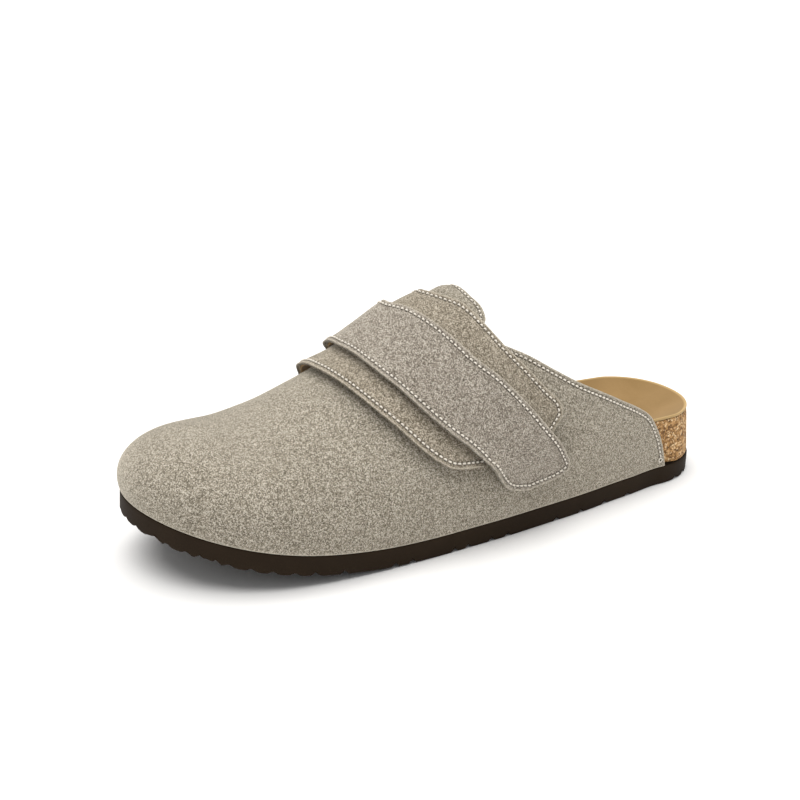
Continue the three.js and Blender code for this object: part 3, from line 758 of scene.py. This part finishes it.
def upper():
    """Grid from the collar edge to the toe and from sole line to sole line; its toe columns
    coincide and zip shut. The stitch line lies in a shallow trough."""
    girth = np.linspace(0, 2, UPPER_ROWS + 1)[:, None]
    toe_start = SOLE_LENGTH - TOE_ARC
    near = collar_edge(girth) + EDGE_COLUMNS
    body = near[:, -1:] + (toe_start - near[:, -1:]) * np.linspace(0, 1, BODY_COLUMNS + 1)[1:]
    turn = np.linspace(0, np.pi / 2, TOE_COLUMNS + 1)[1:]
    toe = toe_start + TOE_ARC * np.sin(turn) ** (2 / SQUARENESS)
    along = np.concatenate([near, body, np.broadcast_to(toe, (len(girth), len(toe)))], 1)
    girth = np.broadcast_to(girth, along.shape)
    skin_points = skin(along, girth)
    normal = mesh_normals(skin_points)
    normal = normal * np.sign((normal * skin_normal(along, girth)).sum())
    edge_girth = np.linspace(SEAM_END, 2 - SEAM_END, 1600)
    stitch = seam(collar_edge(edge_girth), edge_girth, lambda a, g: 0 * a, STITCH_INSET, smooth_by=40)
    seam_gap, seam_run = nearest(skin_points, stitch)

    def loop_of(grid):
        return np.concatenate([grid[0], grid[-1][::-1][1:], grid[::-1, 0][1:-1]])
    loop = loop_of(skin_points)
    edge_gap = np.abs(nearest(skin_points, (loop, loop))[0])
    trough = TROUGH_DEPTH * np.exp(-(seam_gap / TROUGH_WIDTH) ** 2)
    outside = skin_points - normal * trough[..., None]
    inside = skin_points - normal * UPPER_THICKNESS
    inside[0, :, 2], inside[-1, :, 2] = skin_points[0, :, 2], skin_points[-1, :, 2]
    rim = closed(rounded_rim(loop_of(outside), loop_of(inside), UPPER_BULGE))
    # Part of the dark cut-side colour on the upper's rim strip, partly the leather's cut side and
    # partly painted shade
    dark = np.full(rim[..., 0].size, UPPER_RIM_SHADE)
    values = marks(seam_gap, seam_run, edge_gap, UPPER_RIM_WEAR_AND_HIGHLIGHT, dark)
    patches = [(metres(outside), 0), (metres(rim)[::-1], 0), (metres(inside)[::-1], 1)]
    return patches, values, stitch


# Tufts of the nap, single fibres, and the areas in which the nap lies one way, in metres
TUFT_SIZE = 0.0004
FIBRE_SIZE = 0.0003
CLOUD_SIZE = 0.025


def suede(name, dark, middle, light):
    """Split leather brushed to a nap: matt, short tufts that lie in all directions, so it looks
    speckled at half a millimetre, softly clouded at 25 mm, and pale where it turns away. The
    attributes say how far a point is from the edge and from the stitch line, how far along that
    line it lies, in millimetres, and whether it is on the cut side of the leather. From them come
    a pale edge, partly wear and partly painted highlight, a dark cut side, partly the leather's
    own colour and partly painted shade, and painted shade in the needle holes and the trough."""
    made, tree, shader = material(name)
    where = add(tree, "TexCoord").outputs["Object"]
    tuft = add(tree, "TexVoronoi", Vector=where, Scale=1 / TUFT_SIZE, Randomness=1.0)
    lay = add(tree, "SeparateColor", Color=tuft.outputs["Color"])
    fibre = add(tree, "TexNoise", Vector=where, Scale=1 / FIBRE_SIZE, Detail=1.0, Roughness=0.5)
    cloud = add(tree, "TexNoise", Vector=where, Scale=1 / CLOUD_SIZE, Detail=3.0, Distortion=0.4)
    both = add(tree, "Math", {"operation": "ADD"}, i0=lay.outputs[0], i1=fibre.outputs["Fac"])
    soft = add(tree, "Math", {"operation": "MULTIPLY_ADD"},
               i0=cloud.outputs["Fac"], i1=0.15, i2=both.outputs[0])
    level = add(tree, "MapRange", Value=soft.outputs[0], From_Min=0.42, From_Max=1.73)
    shade = add(tree, "ValToRGB", Fac=level.outputs[0])
    ramp = shade.color_ramp
    ramp.elements.new(0.5).color = linear(middle)
    ramp.elements[0].color = linear(dark)
    ramp.elements[-1].color = linear(light)
    # Within 0.8 mm of the edge the colour turns pale: partly the leather's rubbed raw edge, partly a
    # painted highlight where the edge catches the light
    border = add(tree, "Attribute", {"attribute_name": "edge"})
    wear_and_painted_highlight = add(tree, "MapRange", Value=border.outputs["Fac"],
               From_Min=0.1, From_Max=0.8, To_Min=0.55, To_Max=0.0)
    paler = add(tree, "Mix", {"data_type": "RGBA"}, Factor=wear_and_painted_highlight.outputs[0])
    tree.links.new(shade.outputs[0], paler.inputs[6])
    paler.inputs[7].default_value = linear("#cfc6b5")
    # The rim strips' cut side turns dark brown: partly the leather's own cut edge, partly painted shade
    # on the edge faces that stand off the upper
    side = add(tree, "Attribute", {"attribute_name": "rim"})
    cut_side_and_painted_shade = add(tree, "Mix", {"data_type": "RGBA"}, Factor=side.outputs["Fac"])
    tree.links.new(paler.outputs[2], cut_side_and_painted_shade.inputs[6])
    cut_side_and_painted_shade.inputs[7].default_value = linear("#2f251b")
    # Painted shade: dark spots round each stitch where its ends dive into the needle holes, and a
    # darker band along the stitch trough
    gap = add(tree, "Attribute", {"attribute_name": "seam"})
    run = add(tree, "Attribute", {"attribute_name": "run"})
    phase = add(tree, "Math", {"operation": "PINGPONG"}, i0=run.outputs["Fac"], i1=STITCH_PITCH / 2)
    reach = add(tree, "CombineXYZ", X=phase.outputs[0], Y=gap.outputs["Fac"])
    radius = add(tree, "VectorMath", {"operation": "LENGTH"}, i0=reach.outputs[0])
    painted_hole_shade = add(tree, "MapRange", Value=radius.outputs["Value"],
               From_Min=0.5, From_Max=1.0, To_Min=1.0, To_Max=0.0)
    apart = add(tree, "Math", {"operation": "ABSOLUTE"}, i0=gap.outputs["Fac"])
    painted_trough_shade = add(tree, "MapRange", Value=apart.outputs[0],
                  From_Min=0.4, From_Max=1.1, To_Min=0.45, To_Max=0.0)
    # Painted shade of the needle holes and of the stitch trough, whichever is darker
    sunk = add(tree, "Math", {"operation": "MAXIMUM"}, i0=painted_hole_shade.outputs[0], i1=painted_trough_shade.outputs[0])
    painted_stitch_shade = add(tree, "Mix", {"data_type": "RGBA"}, Factor=sunk.outputs[0])
    tree.links.new(cut_side_and_painted_shade.outputs[2], painted_stitch_shade.inputs[6])
    painted_stitch_shade.inputs[7].default_value = linear("#221b14")
    tree.links.new(painted_stitch_shade.outputs[2], shader.inputs["Base Color"])
    shader.inputs["Roughness"].default_value = 0.95
    shader.inputs["Specular IOR Level"].default_value = 0.15
    shader.inputs["Sheen Weight"].default_value = 0.95
    shader.inputs["Sheen Roughness"].default_value = 0.35
    shader.inputs["Sheen Tint"].default_value = linear("#efe6d6")
    bump = add(tree, "Bump", Height=both.outputs[0], Strength=0.5, Distance=0.0006)
    tree.links.new(bump.outputs["Normal"], shader.inputs["Normal"])
    return made


# Brushed taupe suede of the vamp, and the smooth pale leather lining glued inside it
vamp_suede = suede("brushed_taupe_suede", "#494339", "#948c7c", "#ddd5c7")
inner_leather, tree, shader = material("smooth_lining_leather")
where = add(tree, "TexCoord").outputs["Object"]
cells = add(tree, "TexNoise", Vector=where, Scale=500.0, Detail=3.0)
tone = add(tree, "Mix", {"data_type": "RGBA"}, Factor=cells.outputs["Fac"])
tone.inputs[6].default_value = linear("#9c8a6c")
tone.inputs[7].default_value = linear("#b3a184")
tree.links.new(tone.outputs[2], shader.inputs["Base Color"])
shader.inputs["Roughness"].default_value = 0.8
bump = add(tree, "Bump", Height=cells.outputs["Fac"], Strength=0.2, Distance=0.0003)
tree.links.new(bump.outputs["Normal"], shader.inputs["Normal"])

upper_patches, upper_values, collar_stitch = upper()
piece("upper_suede", upper_patches, [vamp_suede, inner_leather], "upper", upper_values)


# Stitching: twisted cream polyester thread, one lockstitch every 2.3 mm, each stitch a short plump
# bar pulled into the suede at its ends.
STITCH_LENGTH = 1.75
STITCH_RISE = 0.2
STITCH_DIVE = 0.5
THREAD_RADIUS = 0.45
TACK_ALONG = 0.12
TACK_GIRTH = 0.018
TACK_RADIUS = 0.95
TACK_THREAD = 0.32
thread, tree, shader = material("twisted_polyester_thread")
where = add(tree, "TexCoord").outputs["Object"]
ply = add(tree, "TexNoise", Vector=where, Scale=1800.0, Detail=2.0)
tone = add(tree, "Mix", {"data_type": "RGBA"}, Factor=ply.outputs["Fac"])
tone.inputs[6].default_value = linear("#d6cdbe")
tone.inputs[7].default_value = linear("#f8f2e7")
tree.links.new(tone.outputs[2], shader.inputs["Base Color"])
shader.inputs["Roughness"].default_value = 0.6
shader.inputs["Sheen Weight"].default_value = 0.2


def stitches(name, path):
    """A capsule of seven rings of six points on each stitch, bent so that its ends dive in."""
    points, normals = path
    run = run_along(points)
    centres = np.arange(STITCH_PITCH, run[-1] - STITCH_PITCH / 2, STITCH_PITCH)

    def pick(values, at):
        return np.stack([np.interp(at, run, values[:, i]) for i in range(3)], -1)
    along = np.linspace(-1, 1, 7)
    thick = THREAD_RADIUS * np.sqrt(np.maximum(1 - np.abs(along) ** 3, 0.0))
    spots = centres[:, None] + along * STITCH_LENGTH / 2
    middle = pick(points, spots.reshape(-1)).reshape(*spots.shape, 3)
    normal = unit(pick(normals, spots.reshape(-1))).reshape(*spots.shape, 3)
    ahead = unit(np.gradient(middle, axis=1))
    across = unit(np.cross(ahead, normal))
    turn = np.linspace(0, 2 * np.pi, 7)
    sunk = STITCH_RISE - STITCH_DIVE * along ** 2
    ring = (middle[:, :, None] + normal[:, :, None] * sunk[None, :, None, None]
            + thick[None, :, None, None] * (across[:, :, None] * np.cos(turn)[:, None]
                                            + normal[:, :, None] * np.sin(turn)[:, None]))
    return piece(name, [(metres(r), 0) for r in ring], [thread], None)


stitches("collar_stitches", collar_stitch)


def tack(along, girth):
    """The knot that ends the collar seam: thread wound into a ring that lies on the suede, a torus
    whose centre line is centre + radius (across cos a + ahead sin a)."""
    centre, normal = skin(along, girth), skin_normal(along, girth)
    ahead = unit(skin(along + 1, girth) - centre)
    across = unit(np.cross(ahead, normal))
    a = np.linspace(0, 2 * np.pi, 25)[:, None, None]
    b = np.linspace(0, 2 * np.pi, 9)[None, :, None]
    spoke = across * np.cos(a) + ahead * np.sin(a)
    return centre + spoke * (TACK_RADIUS + TACK_THREAD * np.cos(b)) + normal * TACK_THREAD * np.sin(b)


ends = [tack(TACK_ALONG * SOLE_LENGTH, girth) for girth in (TACK_GIRTH, 2 - TACK_GIRTH)]
piece("collar_tacks", [(metres(ring), 0) for ring in ends], [thread], None)


# Instep flap and top strap: two layers each, suede outside and tan lining suede inside, cut together
# and stitched round. Their front edges stand off the upper, and the strap steps down off the flap.
SHEET_CLEARANCE = 0.36
FLAP_THICKNESS = 2.4
FLAP_LIFT = 1.8
FLAP_LIFT_START = 0.7
STRAP_THICKNESS = 2.8
STRAP_LIFT = 0.7
STRAP_LIFT_START = 0.75
STEP_LOW = 0.11
STEP_HIGH = 0.208
LINING_THICKNESS = 1.0
LINING_INSET = 1.2
GLUE_GAP = 0.04
SUEDE_BULGE = 0.3
LINING_BULGE = 0.1
NAP_SHARE = 0.2
NAP_BLEND = 0.4
COLUMN_CROWDING = 0.35
flap_edges = table(
    "girth rear front",
    (0.215, 0.392, 0.5), (0.222, 0.38, 0.525), (0.245, 0.364, 0.558), (0.28, 0.3475, 0.576),
    (0.312, 0.349, 0.5875), (0.37, 0.368, 0.604), (0.46, 0.393, 0.623), (0.56, 0.419, 0.6415),
    (0.66, 0.439, 0.656), (0.78, 0.4575, 0.67), (0.9, 0.48, 0.6805), (1, 0.492, 0.686),
    (1.2, 0.491, 0.688), (1.5, 0.452, 0.669), (1.88, 0.385, 0.618))
strap_edges = table(
    "girth rear front",
    (0.088, 0.375, 0.425), (0.094, 0.358, 0.44), (0.104, 0.346, 0.457), (0.12, 0.343, 0.468),
    (0.16, 0.354, 0.484), (0.26, 0.388, 0.519), (0.36, 0.42, 0.556), (0.46, 0.454, 0.581),
    (0.58, 0.486, 0.602), (0.7, 0.509, 0.619), (0.85, 0.532, 0.632), (1, 0.549, 0.64),
    (1.2, 0.542, 0.639), (1.5, 0.502, 0.611), (1.8, 0.46, 0.57))


def edge_curves(columns):
    """Rear and front edge in millimetres from the heel."""
    rear, front = curve(columns, "girth", "rear"), curve(columns, "girth", "front")
    return (lambda g: SOLE_LENGTH * rear(g)), (lambda g: SOLE_LENGTH * front(g))


flap_rear, flap_front = edge_curves(flap_edges)
strap_rear, strap_front = edge_curves(strap_edges)


def flap_lift(along, girth):
    """Gap under the flap, widening towards its front edge."""
    rear, front = flap_rear(girth), flap_front(girth)
    share = (along - rear) / (front - rear)
    return SHEET_CLEARANCE + FLAP_LIFT * smooth((share - FLAP_LIFT_START) / (1 - FLAP_LIFT_START))


def strap_lift(along, girth):
    """Gap under the strap: over the flap it rides on it, past the flap's end it lies on the upper."""
    rear, front = strap_rear(girth), strap_front(girth)
    on_flap = smooth((girth - STEP_LOW) / (STEP_HIGH - STEP_LOW))
    share = (along - rear) / (front - rear)
    lift = STRAP_LIFT * smooth((share - STRAP_LIFT_START) / (1 - STRAP_LIFT_START))
    return SHEET_CLEARANCE + lift + on_flap * (flap_lift(along, girth) + FLAP_THICKNESS)


def rim_shade(rim):
    """Share of the dark cut-side colour across a rim strip, partly the leather's cut side and partly
    painted shade: none under the nap at the top, then all.
    """
    across = np.linspace(0, 1, len(rim))[::-1]
    shade = smooth((across - NAP_SHARE) / NAP_BLEND)
    return np.broadcast_to(shade[:, None], rim.shape[:2]).reshape(-1)


def border_of(grid):
    """Closed loop round a grid."""
    return np.concatenate([grid[0], grid[1:, -1], grid[-1, ::-1][1:], grid[::-1, 0][1:-1]])


def band(girths, rear, front, lift, thickness, columns):
    """Suede and lining layers of one band as two closed sheets with rounded edges, with distances
    from the stitch line and from the edge, and the stitch line itself."""
    girth = girths[:, None]
    width = front(girth) - rear(girth)
    share = 0.5 - 0.5 * np.cos(np.linspace(0, np.pi, columns))
    share = COLUMN_CROWDING * share + (1 - COLUMN_CROWDING) * np.linspace(0, 1, columns)
    along = rear(girth) + width * share
    girth = np.broadcast_to(girth, along.shape)
    base, normal = skin(along, girth), skin_normal(along, girth)
    gap = lift(along, girth)[..., None]
    top = base + normal * (gap + thickness)
    first, last = girths[0], girths[-1]
    side = np.linspace(last, first, 1500)
    end = np.linspace(0, 1, 160)[1:-1]
    ring_g = np.r_[side, np.full(end.size, first), side[::-1], np.full(end.size, last)]
    ring_a = np.r_[front(side), front(first) + (rear(first) - front(first)) * end,
                   rear(side[::-1]), rear(last) + (front(last) - rear(last)) * end]

    def over(along, girth):
        return lift(along, girth) + thickness
    stitch = seam(ring_a, ring_g, over, STITCH_INSET, smooth_by=60)
    seam_gap, seam_run = nearest(top, stitch)
    edge = border_of(top)
    edge_gap = np.abs(nearest(top, (edge, edge))[0])
    top = top - normal * (TROUGH_DEPTH * np.exp(-(seam_gap / TROUGH_WIDTH) ** 2))[..., None]
    under = base + normal * (gap + LINING_THICKNESS)

    def closed_sheet(upper_side, lower_side, bulge):
        rim = closed(rounded_rim(border_of(upper_side), border_of(lower_side), bulge))
        return [(metres(upper_side), 0), (metres(rim)[::-1], 0), (metres(lower_side)[::-1], 0)], rim
    outer_patches, rim = closed_sheet(top, under, SUEDE_BULGE)
    values = marks(seam_gap, seam_run, edge_gap, FAR_AWAY, rim_shade(rim))
    along = rear(girth) + LINING_INSET + (width - 2 * LINING_INSET) * share
    base, normal = skin(along, girth), skin_normal(along, girth)
    gap = lift(along, girth)[..., None]
    inner_top = base + normal * (gap + LINING_THICKNESS - GLUE_GAP)
    inner_patches, _ = closed_sheet(inner_top, base + normal * gap, LINING_BULGE)
    plain = {"rim": np.zeros(len(values["rim"]))}
    return outer_patches, values, inner_patches, plain, stitch


def band_rows(edges, dense_end, dense, rest):
    """Girths of a band's rows, closer together round its rounded outer end."""
    first, last = edges["girth"][[0, -1]]
    return np.r_[np.linspace(first, dense_end, dense)[:-1], np.linspace(dense_end, last, rest)]


flap_suede = suede("brushed_taupe_suede_flap", "#463f34", "#8e8473", "#d9cfbe")
strap_suede = suede("brushed_grey_taupe_suede", "#484139", "#8f867a", "#dbd4c7")
flap_girths = band_rows(flap_edges, 0.3, 40, 190)
outer, values, inner, rim, line = band(
    flap_girths, flap_rear, flap_front, flap_lift, FLAP_THICKNESS, 70)
piece("flap_suede", outer, [flap_suede], "saddle_flap", values)
piece("flap_lining", inner, [lining], None, rim)
stitches("flap_stitches", line)

strap_girths = band_rows(strap_edges, 0.16, 36, 200)
outer, values, inner, rim, line = band(
    strap_girths, strap_rear, strap_front, strap_lift, STRAP_THICKNESS, 44)
piece("strap_suede", outer, [strap_suede], "top_strap", values)
piece("strap_lining", inner, [lining], None, rim)
stitches("strap_stitches", line)
